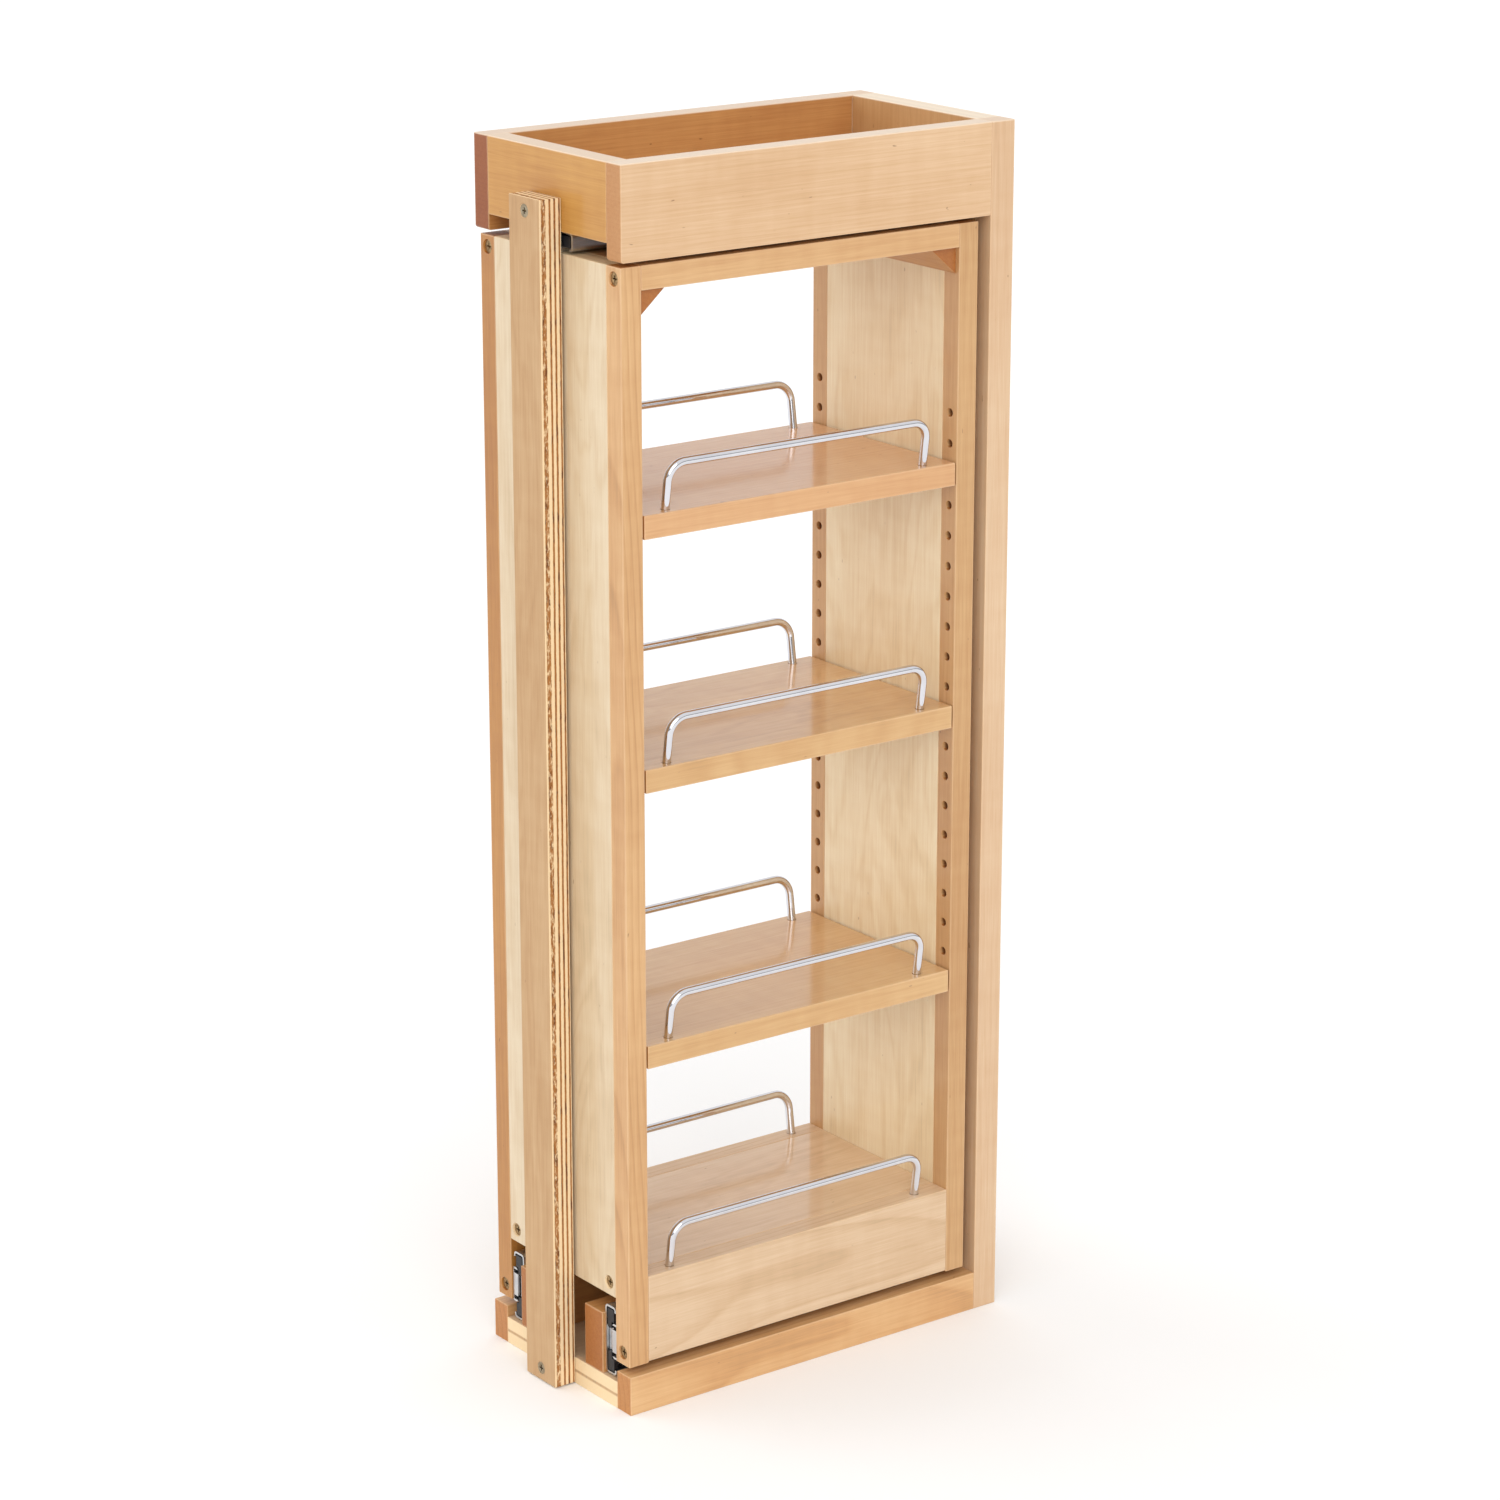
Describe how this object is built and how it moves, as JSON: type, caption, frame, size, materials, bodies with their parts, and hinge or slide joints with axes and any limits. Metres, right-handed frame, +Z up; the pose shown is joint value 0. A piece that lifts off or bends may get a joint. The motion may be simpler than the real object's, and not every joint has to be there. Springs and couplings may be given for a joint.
{
  "type": "pull-out pantry organizer",
  "caption": "Narrow wooden housing for the gap between wall cabinets; a tall shelf rack with chromed wire rails pulls out of it on ball-bearing slides.",
  "frame": {"origin": "centre of the housing's underside", "axes": "+Z up, -Y out of the front where the rack pulls out, +X to the right seen from the front"},
  "size_m": [0.1492, 0.3011, 0.762],
  "materials": {
    "maple": "satin clear lacquer",
    "maple_light": "satin clear lacquer",
    "birch_panel": "satin clear lacquer",
    "plywood": "unfinished birch plywood",
    "zinc_slide": "bright zinc plate",
    "chrome_wire": "polished chrome plate",
    "black_plastic": "moulded",
    "ball_steel": "polished steel",
    "zinc_screw": "zinc plate",
    "dark_screw": "yellow-brown plate"
  },
  "bodies": {
    "housing": {"back_panel_core": "birch_panel", "back_panel_left_strip": "maple_light", "back_panel_right_strip": "maple_light", "top_box_left_board": "maple", "top_box_right_board": "maple", "top_box_front_board": "maple", "top_slide_carrier": "maple", "base_board": "plywood", "base_left_rail": "maple", "base_right_rail": "maple", "left_slide_block": "maple", "right_slide_block": "maple", "housing_screws": "zinc_screw", "left_slide_outer": "zinc_slide", "right_slide_outer": "zinc_slide", "top_slide_outer": "zinc_slide", "housing_slide_screws": "zinc_screw"},
    "rack": {"front_panel_left_strip": "maple", "front_panel_right_strip": "maple", "rear_panel_left_strip": "maple", "rear_panel_right_strip": "maple", "rack_top_board": "maple", "front_corner_block": "maple", "rear_corner_block": "maple", "upper_shelf": "maple", "middle_shelf": "maple", "lower_shelf": "maple", "bottom_shelf": "maple_light", "left_apron": "maple_light", "right_apron": "maple_light", "front_panel_core": "birch_panel", "rear_panel_core": "birch_panel", "left_slide_inner": "zinc_slide", "right_slide_inner": "zinc_slide", "top_slide_inner": "zinc_slide", "upper_left_rail": "chrome_wire", "upper_right_rail": "chrome_wire", "middle_left_rail": "chrome_wire", "middle_right_rail": "chrome_wire", "lower_left_rail": "chrome_wire", "lower_right_rail": "chrome_wire", "bottom_left_rail": "chrome_wire", "bottom_right_rail": "chrome_wire", "rack_slide_screws": "zinc_screw", "shelf_pins": "zinc_screw", "rack_screws": "dark_screw"},
    "left_middle": {"left_slide_middle": "zinc_slide", "left_slide_retainer": "black_plastic", "left_slide_balls": "ball_steel"},
    "right_middle": {"right_slide_middle": "zinc_slide", "right_slide_retainer": "black_plastic", "right_slide_balls": "ball_steel"},
    "top_middle": {"top_slide_middle": "zinc_slide", "top_slide_retainer": "black_plastic", "top_slide_balls": "ball_steel"},
    "brace": {"shipping_brace": "plywood", "brace_screws": "zinc_screw"}
  },
  "joints": [
    {"name": "rack_slide", "type": "slide", "parent": "housing", "child": "rack", "axis": [0, -1, 0], "range_m": [0, 0.25]},
    {"name": "left_middle_slide", "type": "slide", "parent": "housing", "child": "left_middle", "axis": [0, -1, 0], "range_m": [0, 0.125]},
    {"name": "right_middle_slide", "type": "slide", "parent": "housing", "child": "right_middle", "axis": [0, -1, 0], "range_m": [0, 0.125]},
    {"name": "top_middle_slide", "type": "slide", "parent": "housing", "child": "top_middle", "axis": [0, -1, 0], "range_m": [0, 0.125]},
    {"name": "brace_release", "type": "slide", "parent": "housing", "child": "brace", "axis": [0, -1, 0], "range_m": [0, 0.35]}
  ],
  "couplings": [
    {"joint": "left_middle_slide", "follows": "rack_slide", "ratio": 0.5},
    {"joint": "right_middle_slide", "follows": "rack_slide", "ratio": 0.5},
    {"joint": "top_middle_slide", "follows": "rack_slide", "ratio": 0.5},
    {"joint": "brace_release", "follows": "rack_slide", "ratio": 1.4}
  ]
}
